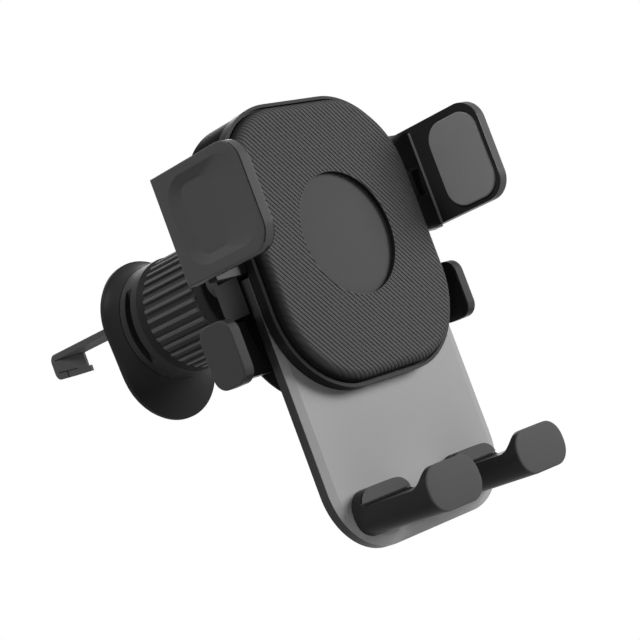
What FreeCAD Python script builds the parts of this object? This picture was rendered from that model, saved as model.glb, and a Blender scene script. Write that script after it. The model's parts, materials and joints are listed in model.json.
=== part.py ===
import FreeCAD, Part
import math
import os

# Air vent phone holder, in millimetres.
# X runs to the right seen from the front, Y runs back from the phone to the vent, Z is up.
# Pieces are drawn with y = 0 on the front cover, and saved with the origin on the vent face.

V = FreeCAD.Vector

# Clearances
running_gap = 0.05
sliding_gap = 0.2
seat_gap = 0.3
cut_over = 1.0

# Housing outline and its layers from front to back
housing_half_width = 35.0
housing_top = 38.8
housing_bottom = -39.7
top_corner_r = 24.0
bottom_corner_r = 24.6
cover_inset = 1.3
cover_depth = 3.9
cover_edge_r = 2.4
lip_front = 2.95
lip_wall = 0.9
frame_back = 6.3
casing_front = 10.1
web_stop = 9.1
casing_back = 19.0
casing_inset = 0.3
casing_wall = 2.2
casing_edge_r = 1.2

# Round inlay in the middle of the cover
disc_r = 17.13
disc_recess = 1.3
disc_depth = 0.6

# Side jaws, which slide in until their pads are 70 mm apart
jaw_inner_x = housing_half_width + 11.0
jaw_depth_x = 3.5
jaw_front = -18.9
jaw_back = 12.9
jaw_low = -2.5
jaw_high = 26.4
jaw_corner_r = 6.5
jaw_edge_r = 0.5
pad_front = -17.7
pad_back = 0.1
pad_low = -1.0
pad_high = 24.0
pad_corner_r = 6.0
pad_proud = 0.6
pad_seat = 0.9
web_front = 5.8
web_back = 8.9
web_low = -3.4
web_high = 25.2
web_inner_x = housing_half_width - 1.0
web_slot_outer_x = jaw_inner_x - 1.3
web_slot_inner_x = housing_half_width + 2.6
web_slot_low = 6.6
web_slot_high = 14.9
web_slot_r = 0.5
web_corner_r = 2.0
web_foot = 0.5
scoop_depth = 1.3
scoop_back = 9.2
scoop_front = -17.6
scoop_low = 0.8
scoop_high = 23.6
scoop_corner_r = 7.0
scoop_bevel = 3.6
scoop_fade = 12.0
scoop_over = 0.4
scoop_floor_share = 0.6

# Rack and pinion that tie the jaws together
jaw_centre_z = 11.7
gear_module = 1.0
pinion_teeth = 12
pressure_angle = math.radians(25.0)
addendum = 0.8
dedendum = 1.05
backlash = 0.15
pinion_pin_r = 2.0
arm_height = 5.2
arm_reach = 5.2
rack_teeth_before = 5
rack_teeth_after = 1

# Foot plate, which pulls down by plate_travel, and its two feet
plate_front = 6.5
plate_thick = 3.5
plate_half_width = housing_half_width - 0.7
plate_bottom = -80.4
plate_top = -4.4
plate_corner_r = 17.8
plate_bevel_wide = 2.5
plate_bevel_deep = 0.58
plate_travel = 10.0
foot_x = plate_half_width - 15.57
foot_z = -70.4
foot_width = 20.7
foot_height = 12.1
foot_corner_r = 5.57
foot_front = -20.1
foot_lip = 1.9
foot_back_wall = 3.4
saddle_drop = 4.2
saddle_r = 4.1
foot_pad_thick = 0.8
foot_pad_inset = 0.7
foot_pad_low = 0.9
foot_pad_high = 0.1
foot_edge_r = 0.4
saddle_toe_r = 0.8
foot_screw_reach = 5.5
foot_screw_head_gap = 0.3

# Guide posts, screws and release tabs
post_x = housing_half_width - 15.0
post_z = housing_bottom + 19.7
post_r = 2.6
top_post_x = housing_half_width - 16.0
top_post_z = housing_top - 6.8
screw_r = 1.0
screw_head_r = 2.1
screw_head_deep = 1.8
screw_tip_y = cover_depth + 0.5
screw_sunk = 0.4
screw_cross_half = 1.2
screw_cross_slit = 0.25
screw_cross_deep = 1.2
foot_screw_spread = 5.0
tab_outer_x = housing_half_width + 12.8
tab_thick = 3.4
tab_front = 6.0
tab_back = 17.8
tab_low = -29.7
tab_high = -12.8
tab_corner_r = 3.9
tab_edge_r = 0.5
tab_travel = 3.0
stem_front = 13.2
stem_back = 17.0
stem_low = -28.3
stem_high = -13.9
stem_inner_x = housing_half_width - 6.0
stem_pin = 2.5
spring_z = -26.0
spring_inner_x = housing_half_width - 16.0
spring_r = 1.7
spring_wire_r = 0.3
spring_turns = 6
spring_rib = 2.0
spring_rib_margin = 0.6
side_block_proud = 0.5
side_block_low = -12.9
side_block_high = -2.9
side_block_r = 2.5

# Raised back of the rear casing, and the ball joint behind it
bridge_half_width = housing_half_width - 2.0
bridge_low = -5.4
bridge_high = 29.0
bridge_back = 23.5
bridge_corner_r = 4.0
bridge_inset = 0.4
guide_reach = housing_half_width - 13.0
guide_wall = 1.6
ball_y = 31.0
ball_r = 8.5
liner_gap = 0.1
liner_thick = 1.0
cup_angle = 60.0
ring_angle_low = 53.0
ring_angle_high = 78.0
socket_base_r = 12.8
socket_r = 11.0
socket_back = 33.5
nut_front = 24.3
nut_back = 38.2
nut_r = 13.6
nut_edge = 1.2
nut_flutes = 24
nut_flute_r = 0.8
nut_flute_centre_r = nut_r + 0.28
nut_mouth_r = 7.8
neck_r = 4.2
liner_reach = ball_r + 2 * liner_thick

# Vent clip: ball flange, core tube, knob, collar, base, gasket and hook
collar_r = 17.4
collar_wall = 7.2
collar_front = 68.2
collar_back = 78.0
collar_taper = 1.8
collar_back_edge = 0.35
collar_slot_front = 72.7
collar_slot_back = 75.2
collar_slot_deep = 2.2
collar_slot_half_angle = 40.0
flange_front = 43.0
flange_back = 46.2
flange_r = collar_r - 1.0
flange_edge_r = 0.8
knob_front = 46.5
knob_back = 67.9
knob_r = collar_r - 0.4
knob_edge = 0.6
knob_ribs = 36
valley_deep = 0.85
valley_mouth = 2.15
valley_floor = 1.5
valley_turn = math.radians(6.0)
core_r = collar_r - collar_wall
core_bore_r = core_r - 3.2
core_floor = 1.6
window_front = 48.3
window_back = 64.8
base_back = 84.3
base_rim = 1.0
base_top_r = collar_r + 0.9
base_top_z = 2.4
base_low_r = collar_r + 0.1
base_low_z = -10.8
base_wall = 2.0
base_flare_share = 0.36
oval_steps = 32
gasket_thick = 0.9
gasket_inset = 0.5
head_front = 57.5
head_back = 64.6
head_half_width = core_r - 0.3
shaft_half_width = core_bore_r - 2.2
shaft_half_height = 3.0
shaft_back = 70.0
arm_half_width = 0.4286 * core_bore_r
arm_top = 0.8786 * core_bore_r
arm_ridge = 0.6286 * core_bore_r
arm_keel = 0.4286 * core_bore_r
keel_half_width = 0.4
arm_root = 78.0
gusset_front = 0.5
gusset_top = 2.0
hook_throat = 118.1
hook_back = hook_throat + 12.9
hook_tip = hook_throat - 1.3
hook_tip_low = -3.26
hook_end_low = -1.75
barb_high = -1.4
hook_corner_r = 2.4
blade_end = hook_throat + 10.8

vent_face = base_back + gasket_thick


def in_xz(y):
    return lambda u, v: V(u, y, v)


def in_yz(x):
    return lambda u, v: V(x, u, v)


def polygon(points, place):
    """Closed straight-sided wire through 2-D points."""
    corners = [place(u, v) for u, v in points]
    return Part.makePolygon(corners + corners[:1])


def rounded(u0, u1, v0, v1, radii, place):
    """Rectangle wire whose corners, from (u0, v0) round through (u1, v0), have these radii."""
    if not isinstance(radii, (list, tuple)):
        radii = [radii] * 4
    corners = [(u0, v0), (u1, v0), (u1, v1), (u0, v1)]
    steps = [(1, 0), (0, 1), (-1, 0), (0, -1)]
    edges = []
    last = None
    first = None
    for index, (u, v) in enumerate(corners):
        r = radii[index]
        before = steps[index - 1]
        after = steps[index]
        start = (u - before[0] * r, v - before[1] * r)
        end = (u + after[0] * r, v + after[1] * r)
        if last is not None:
            edges.append(Part.makeLine(place(*last), place(*start)))
        else:
            first = start
        if r > 0:
            bulge = r * (1 - math.sqrt(0.5))
            middle = (u - before[0] * bulge + after[0] * bulge, v - before[1] * bulge + after[1] * bulge)
            edges.append(Part.Arc(place(*start), place(*middle), place(*end)).toShape())
        last = end
    edges.append(Part.makeLine(place(*last), place(*first)))
    return Part.Wire(edges)


def along_y(wire, y0, y1):
    face = Part.Face(wire)
    return face.extrude(V(0, y1 - y0, 0))


def along_x(wire, x0, x1):
    return Part.Face(wire).extrude(V(x1 - x0, 0, 0))


def rod_y(r, y0, y1, x=0.0, z=0.0):
    return Part.makeCylinder(r, y1 - y0, V(x, y0, z), V(0, 1, 0))


def rod_x(r, x0, x1, y, z):
    return Part.makeCylinder(r, x1 - x0, V(x0, y, z), V(1, 0, 0))


def block(x0, x1, y0, y1, z0, z1):
    return Part.makeBox(x1 - x0, y1 - y0, z1 - z0, V(x0, y0, z0))


def mirrored(shape):
    return shape.mirror(V(0, 0, 0), V(1, 0, 0))


def edges_near(shape, axis, value, tolerance=0.01):
    """Edges that lie wholly in the plane where the axis (x, y or z) has this value."""
    low = {"x": "XMin", "y": "YMin", "z": "ZMin"}[axis]
    high = {"x": "XMax", "y": "YMax", "z": "ZMax"}[axis]
    found = []
    for edge in shape.Edges:
        box = edge.BoundBox
        if abs(getattr(box, low) - value) < tolerance and abs(getattr(box, high) - value) < tolerance:
            found.append(edge)
    return found


def housing(inset, y0, y1):
    """Prism of the housing outline, drawn in by an inset."""
    wire = rounded(
        -housing_half_width + inset, housing_half_width - inset,
        housing_bottom + inset, housing_top - inset,
        [bottom_corner_r - inset, bottom_corner_r - inset, top_corner_r - inset, top_corner_r - inset],
        in_xz(y0),
    )
    return along_y(wire, y0, y1)


def make_front_cover():
    body = housing(cover_inset, 0, cover_depth)
    body = body.makeFillet(cover_edge_r, edges_near(body, "y", 0))
    return body.cut(rod_y(disc_r, -cut_over, disc_recess + disc_depth))


def make_centre_disc():
    return rod_y(disc_r - running_gap, disc_recess, disc_recess + disc_depth)


def guide_posts():
    """Centres of the lower and upper screw posts."""
    return [(side * x, z) for x, z in ((post_x, post_z), (top_post_x, top_post_z)) for side in (-1, 1)]


def make_mid_frame():
    body = housing(0, lip_front, frame_back)
    body = body.cut(housing(lip_wall, lip_front - cut_over, cover_depth))
    channel = block(
        -housing_half_width - cut_over, housing_half_width + cut_over,
        web_front - sliding_gap, frame_back + cut_over,
        web_low - sliding_gap, web_high + sliding_gap,
    )
    body = body.cut(channel)
    pin = rod_y(pinion_pin_r, web_front - sliding_gap, web_back + sliding_gap, 0, jaw_centre_z)
    body = body.fuse(pin)
    for x, z in guide_posts():
        body = body.cut(rod_y(screw_r + running_gap, screw_tip_y - sliding_gap, frame_back + cut_over, x, z))
    return body.removeSplitter()


def casing_shell():
    """Hollow rear casing with its closed top wall and the raised back."""
    wide = housing_half_width + cut_over
    inner_back = casing_back - casing_wall
    shell = housing(casing_inset, casing_front, casing_back)
    shell = shell.makeFillet(casing_edge_r, edges_near(shell, "y", casing_back))
    shell = shell.cut(housing(casing_inset + casing_wall, casing_front - cut_over, inner_back))
    crown = housing(casing_inset, frame_back, casing_front)
    crown_low = web_high + 2 * sliding_gap
    crown = crown.cut(block(
        -wide, wide, frame_back - cut_over, casing_front + cut_over, housing_bottom - cut_over, crown_low,
    ))
    bridge = rounded(
        -bridge_half_width, bridge_half_width, bridge_low, bridge_high, bridge_corner_r,
        in_xz(casing_back - casing_edge_r),
    )
    bridge = along_y(bridge, casing_back - casing_edge_r, bridge_back)
    bridge = bridge.common(housing(casing_inset + bridge_inset, casing_front, bridge_back))
    web_rest = housing(casing_inset, web_stop, casing_front)
    web_rest = web_rest.cut(housing(casing_inset + casing_wall, web_stop - cut_over, casing_front + cut_over))
    web_rest = web_rest.common(block(-wide, wide, web_stop, casing_front, web_low - sliding_gap, crown_low))
    hollow = rounded(
        -bridge_half_width + casing_wall, bridge_half_width - casing_wall,
        bridge_low + casing_wall, bridge_high - casing_wall, bridge_corner_r - casing_wall,
        in_xz(inner_back - cut_over),
    )
    hollow = along_y(hollow, inner_back - cut_over, bridge_back - casing_wall)
    shell = shell.fuse([crown, bridge, web_rest]).cut(hollow)
    rack_edge = gear_module * (dedendum + pinion_teeth / 2) + arm_height + sliding_gap
    guides = []
    for low, high in (
        (jaw_centre_z + rack_edge, crown_low + seat_gap),
        (jaw_centre_z - rack_edge - guide_wall, jaw_centre_z - rack_edge),
    ):
        guides.append(block(
            -guide_reach, guide_reach,
            frame_back + sliding_gap, bridge_back - casing_wall + running_gap, low, high,
        ))
    return shell.fuse(guides)


def side_block():
    """Flat pad on the casing's left side, between the jaw and the release tab."""
    wire = rounded(
        casing_front, casing_back, side_block_low, side_block_high,
        [0, side_block_r, 0, 0], in_yz(-housing_half_width + casing_inset - side_block_proud),
    )
    x0 = -housing_half_width + casing_inset - side_block_proud
    return along_x(wire, x0, x0 + casing_wall)


def make_rear_casing():
    inner_back = casing_back - casing_wall
    body = casing_shell()
    body = body.fuse([side_block(), mirrored(side_block())])
    body = body.fuse(rod_y(socket_base_r, inner_back, nut_front - seat_gap))
    body = body.fuse(rod_y(socket_r, casing_back, socket_back))
    body = body.cut(Part.makeSphere(ball_r + liner_thick + liner_gap + running_gap, V(0, ball_y, 0)))
    for x, z in guide_posts():
        body = body.fuse(rod_y(post_r, frame_back, inner_back + running_gap, x, z))
    rib_half = spring_r + spring_rib_margin
    for side in (-1, 1):
        rib = block(
            spring_inner_x - spring_rib, spring_inner_x,
            stem_front - sliding_gap, inner_back + running_gap,
            spring_z - rib_half, spring_z + rib_half,
        )
        slot = block(
            stem_inner_x - tab_travel - sliding_gap, tab_outer_x,
            stem_front - sliding_gap, stem_back + sliding_gap,
            stem_low - sliding_gap, stem_high + sliding_gap,
        )
        spring_room = rod_x(
            spring_r + spring_wire_r + sliding_gap, spring_inner_x, stem_inner_x,
            (stem_front + stem_back) / 2, spring_z,
        )
        if side < 0:
            rib, slot, spring_room = mirrored(rib), mirrored(slot), mirrored(spring_room)
        body = body.fuse(rib).cut(slot).cut(spring_room)
    for x, z in guide_posts():
        body = body.cut(rod_y(screw_r + running_gap, frame_back - cut_over, casing_back + cut_over, x, z))
        body = body.cut(rod_y(
            screw_head_r + running_gap, casing_back - screw_head_deep, bridge_back + cut_over, x, z,
        ))
    return body.removeSplitter()


def screw(x, z, tip_y, seat_y, top_y):
    """Cross-head screw pointing forward, from its tip to the top of its head."""
    half, slit = screw_cross_half, screw_cross_slit
    floor = top_y - screw_cross_deep + screw_sunk
    head = rod_y(screw_head_r, seat_y, top_y, x, z)
    head = head.cut(block(x - half, x + half, floor, top_y + cut_over, z - slit, z + slit))
    head = head.cut(block(x - slit, x + slit, floor, top_y + cut_over, z - half, z + half))
    return head.fuse(rod_y(screw_r, tip_y, seat_y, x, z))


def make_casing_screws():
    seat, top = casing_back - screw_head_deep, casing_back - screw_sunk
    return Part.makeCompound([screw(x, z, screw_tip_y, seat, top) for x, z in guide_posts()])


def involute(angle):
    return math.tan(angle) - angle


def make_pinion():
    """Stub-tooth pinion on the Y axis, with a tooth space at its top and bottom."""
    pitch_r = gear_module * pinion_teeth / 2
    base_r = pitch_r * math.cos(pressure_angle)
    outer_r = pitch_r + addendum * gear_module
    root_r = pitch_r - dedendum * gear_module
    half_tooth = (math.pi * gear_module / 2 - backlash) / (2 * pitch_r)
    step = 2 * math.pi / pinion_teeth
    flank = []
    for share in (0.0, 0.25, 0.5, 0.75, 1.0):
        r = base_r + (outer_r - base_r) * share
        turn = half_tooth + involute(pressure_angle) - involute(math.acos(min(1.0, base_r / r)))
        flank.append((r, turn))
    flank.insert(0, (root_r, flank[0][1]))
    points = []
    for tooth in range(pinion_teeth):
        centre = (tooth + 0.5) * step
        points += [(r * math.cos(centre - turn), r * math.sin(centre - turn)) for r, turn in flank]
        points += [(r * math.cos(centre + turn), r * math.sin(centre + turn)) for r, turn in reversed(flank)]
    wire = polygon([(u, v + jaw_centre_z) for u, v in points], in_xz(web_front))
    gear = along_y(wire, web_front, web_back)
    return gear.cut(rod_y(
        pinion_pin_r + running_gap, web_front - cut_over, web_back + cut_over, 0, jaw_centre_z,
    ))


def rack_outline(end_x, start_x):
    """Rack with teeth pointing down to the pinion: a strip above the pitch line."""
    pitch_z = gear_module * pinion_teeth / 2
    root_z = pitch_z + dedendum * gear_module
    tip_z = pitch_z - addendum * gear_module
    half_pitch_thick = (math.pi * gear_module / 2 - backlash) / 2
    tip_half = half_pitch_thick - addendum * gear_module * math.tan(pressure_angle)
    root_half = half_pitch_thick + dedendum * gear_module * math.tan(pressure_angle)
    points = [(start_x, root_z)]
    for tooth in range(-rack_teeth_before, rack_teeth_after + 1):
        centre = tooth * math.pi * gear_module
        points += [
            (centre - root_half, root_z), (centre - tip_half, tip_z),
            (centre + tip_half, tip_z), (centre + root_half, root_z),
        ]
    points += [(end_x, root_z), (end_x, root_z + arm_height), (start_x, root_z + arm_height)]
    return points


def make_left_jaw():
    outer_x = -jaw_inner_x - jaw_depth_x
    plate = rounded(
        jaw_front, jaw_back, jaw_low, jaw_high,
        [jaw_corner_r, 0, 0, jaw_corner_r], in_yz(outer_x),
    )
    plate = along_x(plate, outer_x, -jaw_inner_x)
    plate = plate.makeFillet(jaw_edge_r, edges_near(plate, "x", outer_x))
    web = rounded(
        -jaw_inner_x, -web_inner_x, web_low, web_high, [0, web_corner_r, web_corner_r, 0], in_xz(web_front),
    )
    web = along_y(web, web_front, web_back)
    slot = rounded(
        -web_slot_outer_x, -web_slot_inner_x, web_slot_low, web_slot_high, web_slot_r,
        in_xz(web_front - cut_over),
    )
    web = web.cut(along_y(slot, web_front - cut_over, web_back + cut_over))
    arm_points = [(u, v + jaw_centre_z) for u, v in rack_outline(arm_reach, -web_inner_x - web_foot)]
    arm = along_y(polygon(arm_points, in_xz(web_front)), web_front, web_back)
    foot_of_web = block(-jaw_inner_x - web_foot, -jaw_inner_x, web_front, web_back, jaw_low, web_high)
    body = plate.fuse([web, arm, foot_of_web])
    body = body.cut(pad_prism(pad_seat, cut_over))
    return body.cut(scoop()).removeSplitter()


def scoop():
    """Bevelled hollow in the jaw's outer face, deep at the back and running out to the front."""
    face_x = -jaw_inner_x - jaw_depth_x
    slope = scoop_over / scoop_depth
    rise = scoop_bevel * slope
    inward = scoop_bevel * scoop_floor_share
    mouth = rounded(
        scoop_front - scoop_fade * slope, scoop_back + rise, scoop_low - rise, scoop_high + rise,
        scoop_corner_r + rise, in_yz(face_x - scoop_over),
    )
    floor = rounded(
        scoop_front + scoop_fade, scoop_back - scoop_bevel, scoop_low + inward, scoop_high - inward,
        scoop_corner_r - scoop_bevel, in_yz(face_x + scoop_depth),
    )
    return Part.makeLoft([mouth, floor], True, True)


def pad_prism(depth, proud):
    """Left jaw pad, set into the jaw's inner face and standing proud of it."""
    wire = rounded(pad_front, pad_back, pad_low, pad_high, pad_corner_r, in_yz(-jaw_inner_x - depth))
    return along_x(wire, -jaw_inner_x - depth, -jaw_inner_x + proud)


def make_left_jaw_pad():
    pad = pad_prism(pad_seat, pad_proud)
    return pad.makeFillet(pad_proud * 0.7, edges_near(pad, "x", -jaw_inner_x + pad_proud))


def make_right_jaw():
    """The right jaw: the left one mirrored, with its rack below the pinion."""
    body = mirrored(make_left_jaw())
    arm_box = block(
        -arm_reach - cut_over, web_inner_x, web_front - cut_over, web_back + cut_over,
        jaw_centre_z, web_high + cut_over,
    )
    body = body.cut(arm_box)
    arm_points = [(-u, jaw_centre_z - v) for u, v in rack_outline(arm_reach, -web_inner_x - web_foot)]
    arm = along_y(polygon(arm_points, in_xz(web_front)), web_front, web_back)
    return body.fuse(arm).removeSplitter()


def plate_outline(inset, y):
    return rounded(
        -plate_half_width + inset, plate_half_width - inset, plate_bottom + inset, plate_top,
        [plate_corner_r - inset, plate_corner_r - inset, 0, 0], in_xz(y),
    )


def make_foot_plate():
    bevel_back = plate_front + plate_bevel_deep
    back = along_y(plate_outline(0, bevel_back), bevel_back, plate_front + plate_thick)
    face = Part.makeLoft([plate_outline(plate_bevel_wide, plate_front), plate_outline(0, bevel_back)], True, True)
    body = back.fuse(face)
    rear = plate_front + plate_thick
    slot_half = post_r + sliding_gap
    for side in (-1, 1):
        slot = rounded(
            side * post_x - slot_half, side * post_x + slot_half,
            post_z - slot_half, post_z + plate_travel + slot_half,
            slot_half - running_gap, in_xz(plate_front - cut_over),
        )
        body = body.cut(along_y(slot, plate_front - cut_over, rear + cut_over))
    for x, z in foot_screw_places():
        body = body.cut(rod_y(screw_r + running_gap, plate_front - cut_over, rear + cut_over, x, z))
        body = body.cut(rod_y(screw_head_r + running_gap, rear - screw_head_deep, rear + cut_over, x, z))
    return body.removeSplitter()


def foot_screw_places():
    places = []
    for side in (-1, 1):
        for across in (-foot_screw_spread, foot_screw_spread):
            places.append((side * foot_x + across, foot_z))
    return places


def make_foot(side):
    x = side * foot_x
    top = foot_z + foot_height / 2
    bar = rounded(
        x - foot_width / 2, x + foot_width / 2, foot_z - foot_height / 2, top,
        foot_corner_r, in_xz(foot_front),
    )
    body = along_y(bar, foot_front, plate_front)
    body = body.makeFillet(foot_edge_r, edges_near(body, "y", foot_front))
    saddle = rounded(
        foot_front + foot_lip, plate_front - foot_back_wall, top - saddle_drop, top + cut_over,
        [saddle_r, saddle_toe_r, 0, 0], in_yz(x - foot_width),
    )
    body = body.cut(along_x(saddle, x - foot_width, x + foot_width))
    for place_x, z in foot_screw_places():
        body = body.cut(rod_y(
            screw_r + running_gap, plate_front - foot_screw_reach - sliding_gap, plate_front + cut_over,
            place_x, z,
        ))
    return body


def make_foot_pad(side):
    """Rubber pad on the foot's back wall, above the saddle."""
    x = side * foot_x
    top = foot_z + foot_height / 2
    face = plate_front - foot_back_wall
    outline = rounded(
        x - foot_width / 2 + foot_pad_inset, x + foot_width / 2 - foot_pad_inset,
        foot_z - foot_height / 2, top - foot_pad_high, foot_corner_r - foot_pad_inset, in_xz(face - foot_pad_thick),
    )
    above = block(
        x - foot_width, x + foot_width, face - foot_pad_thick - cut_over, face + cut_over,
        top - saddle_drop + foot_pad_low, top + cut_over,
    )
    return along_y(outline, face - foot_pad_thick, face).common(above)


def make_foot_screws():
    rear = plate_front + plate_thick
    tip, seat, top = plate_front - foot_screw_reach, rear - screw_head_deep, rear - foot_screw_head_gap
    return Part.makeCompound([screw(x, z, tip, seat, top) for x, z in foot_screw_places()])


def make_left_tab():
    paddle = rounded(tab_front, tab_back, tab_low, tab_high, tab_corner_r, in_yz(-tab_outer_x))
    paddle = along_x(paddle, -tab_outer_x, -tab_outer_x + tab_thick)
    paddle = paddle.makeFillet(tab_edge_r, edges_near(paddle, "x", -tab_outer_x))
    stem = block(
        -tab_outer_x + tab_thick, -stem_inner_x, stem_front, stem_back, stem_low, stem_high,
    )
    stem_y = (stem_front + stem_back) / 2
    pin = rod_x(spring_r - spring_wire_r - sliding_gap, -stem_inner_x, -stem_inner_x + stem_pin, stem_y, spring_z)
    return paddle.fuse([stem, pin]).removeSplitter()


def make_left_tab_spring():
    """Coil spring between the tab's stem and the rib inside the casing."""
    length = stem_inner_x - spring_inner_x - tab_travel - sliding_gap
    helix = Part.makeHelix((length - 2 * spring_wire_r) / spring_turns, length - 2 * spring_wire_r, spring_r)
    start = helix.Edges[0].valueAt(helix.Edges[0].FirstParameter)
    section = Part.Wire([Part.makeCircle(spring_wire_r, start, V(0, 1, 0))])
    coil = Part.Wire(helix.Edges).makePipeShell([section], True, True)
    coil.rotate(V(0, 0, 0), V(0, 1, 0), 90)
    stem_y = (stem_front + stem_back) / 2
    coil.translate(V(-stem_inner_x + spring_wire_r, stem_y, spring_z))
    return coil


def make_ball_cup():
    """Spherical liner in front of the ball."""
    r = ball_r + running_gap
    shell = Part.makeSphere(r + liner_thick, V(0, ball_y, 0)).cut(Part.makeSphere(r, V(0, ball_y, 0)))
    rim_y = ball_y - r * math.cos(math.radians(cup_angle))
    return shell.common(rod_y(liner_reach, ball_y - liner_reach, rim_y))


def make_ball_ring():
    """Spherical liner ring behind the ball, under the lock nut."""
    r = ball_r + running_gap
    shell = Part.makeSphere(r + liner_thick, V(0, ball_y, 0)).cut(Part.makeSphere(r, V(0, ball_y, 0)))
    near = ball_y + r * math.cos(math.radians(ring_angle_high))
    far = ball_y + r * math.cos(math.radians(ring_angle_low))
    return shell.common(rod_y(liner_reach, near, far))


def make_lock_nut():
    body = rod_y(nut_r, nut_front, nut_back)
    body = body.makeChamfer(nut_edge, edges_near(body, "y", nut_back) + edges_near(body, "y", nut_front))
    body = body.cut(rod_y(socket_r + running_gap, nut_front - cut_over, socket_back + sliding_gap))
    seat = Part.makeSphere(ball_r + liner_thick + liner_gap + running_gap, V(0, ball_y, 0))
    body = body.cut(seat).cut(rod_y(nut_mouth_r, nut_front, nut_back + cut_over))
    for index in range(nut_flutes):
        turn = 2 * math.pi * index / nut_flutes
        body = body.cut(rod_y(
            nut_flute_r, nut_front - cut_over, nut_back + cut_over,
            nut_flute_centre_r * math.cos(turn), nut_flute_centre_r * math.sin(turn),
        ))
    return body


def make_ball_head():
    """Ball, neck and front flange of the vent clip, in one piece."""
    ball = Part.makeSphere(ball_r, V(0, ball_y, 0))
    neck = rod_y(neck_r, ball_y, flange_front)
    flange = rod_y(flange_r, flange_front, flange_back)
    flange = flange.makeFillet(flange_edge_r, edges_near(flange, "y", flange_front))
    return ball.fuse([neck, flange]).removeSplitter()


def make_clip_core():
    """Tube that carries the knob, with a window each side for the hook's threaded head."""
    body = rod_y(core_r, flange_back, base_back)
    body = body.cut(rod_y(core_bore_r, flange_back + core_floor, base_back + cut_over))
    half = shaft_half_height + sliding_gap
    window = block(-core_r - cut_over, core_r + cut_over, window_front, window_back, -half, half)
    return body.cut(window)


def make_clamp_knob():
    """Ring with narrow straight ribs, parted by wide valleys with a flat floor."""
    body = rod_y(knob_r, knob_front, knob_back)
    body = body.makeChamfer(knob_edge, edges_near(body, "y", knob_front) + edges_near(body, "y", knob_back))
    body = body.cut(rod_y(core_r + running_gap, knob_front - cut_over, knob_back + cut_over))
    slope = (valley_mouth - valley_floor) / 2 / valley_deep
    mouth_half = valley_mouth / 2 + slope * cut_over
    valley = along_y(polygon([
        (knob_r - valley_deep, -valley_floor / 2), (knob_r + cut_over, -mouth_half),
        (knob_r + cut_over, mouth_half), (knob_r - valley_deep, valley_floor / 2),
    ], in_xz(knob_front - cut_over)), knob_front - cut_over, knob_back + cut_over)
    valleys = []
    for index in range(knob_ribs):
        copy = valley.copy()
        turn = valley_turn + 2 * math.pi * index / knob_ribs
        copy.rotate(V(0, 0, 0), V(0, 1, 0), -math.degrees(turn))
        valleys.append(copy)
    return body.cut(valleys)


def make_collar():
    """Ring behind the knob, with a slot each side whose floor runs out flat at its ends."""
    profile = [
        (core_r, collar_front), (collar_r - collar_taper, collar_front),
        (collar_r, collar_front + collar_taper), (collar_r, collar_back - collar_back_edge),
        (collar_r - collar_back_edge, collar_back), (core_r, collar_back),
    ]
    wire = polygon(profile, lambda u, v: V(u, v, 0))
    body = Part.Face(wire).revolve(V(0, 0, 0), V(0, 1, 0), 360)
    slot_profile = [
        (collar_r - collar_slot_deep, collar_slot_front), (collar_r + cut_over, collar_slot_front),
        (collar_r + cut_over, collar_slot_back), (collar_r - collar_slot_deep, collar_slot_back),
    ]
    face = Part.Face(polygon(slot_profile, lambda u, v: V(u, v, 0)))
    face.rotate(V(0, 0, 0), V(0, 1, 0), -collar_slot_half_angle)
    slot = face.revolve(V(0, 0, 0), V(0, 1, 0), 2 * collar_slot_half_angle)
    slot = slot.common(block(
        collar_r * math.cos(math.radians(collar_slot_half_angle)), collar_r + cut_over,
        collar_slot_front, collar_slot_back, -collar_r, collar_r,
    ))
    return body.cut([slot, mirrored(slot)])


def oval_wire(grow, y, blend=1.0):
    """Base rim: a circle above and a smaller one below with straight sides, morphing from the collar's circle."""
    lean = (base_low_r - base_top_r) / (base_top_z - base_low_z)
    wide = math.sqrt(1 - lean ** 2)
    side = base_top_z * lean + base_top_r
    points = []
    for index in range(oval_steps):
        turn = 2 * math.pi * index / oval_steps
        across, up = math.cos(turn), math.sin(turn)
        z, r = (base_top_z, base_top_r) if up > 0 else (base_low_z, base_low_r)
        reach = z * up + math.sqrt(r ** 2 - (z * across) ** 2)
        if base_low_z + base_low_r * lean < reach * up < base_top_z + base_top_r * lean:
            reach = side / (abs(across) * wide + up * lean)
        reach = collar_r + blend * (reach - collar_r) + grow
        points.append(V(reach * across, y, reach * up))
    curve = Part.BSplineCurve()
    curve.interpolate(points, PeriodicFlag=True)
    return Part.Wire([curve.toShape()])


def base_solid(grow, y0, y1, y2):
    flare = Part.makeLoft(
        [oval_wire(grow, y0, 0.0), oval_wire(grow, (y0 + y1) / 2, base_flare_share), oval_wire(grow, y1)], True,
    )
    rim = Part.Face(oval_wire(grow, y1)).extrude(V(0, y2 - y1, 0))
    return flare.fuse(rim)


def make_vent_base():
    body = base_solid(0, collar_back, base_back - base_rim, base_back)
    hollow = base_solid(-base_wall, collar_back + base_wall, base_back, base_back + cut_over)
    body = body.cut(hollow)
    return body.cut(rod_y(core_r, collar_back - cut_over, base_back))


def make_base_gasket():
    pad = Part.Face(oval_wire(-gasket_inset, base_back)).extrude(V(0, gasket_thick, 0))
    arm_hole = block(
        -arm_half_width - sliding_gap, arm_half_width + sliding_gap, base_back - cut_over, vent_face + cut_over,
        arm_keel - sliding_gap, arm_top + sliding_gap,
    )
    return pad.cut(arm_hole)


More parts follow.
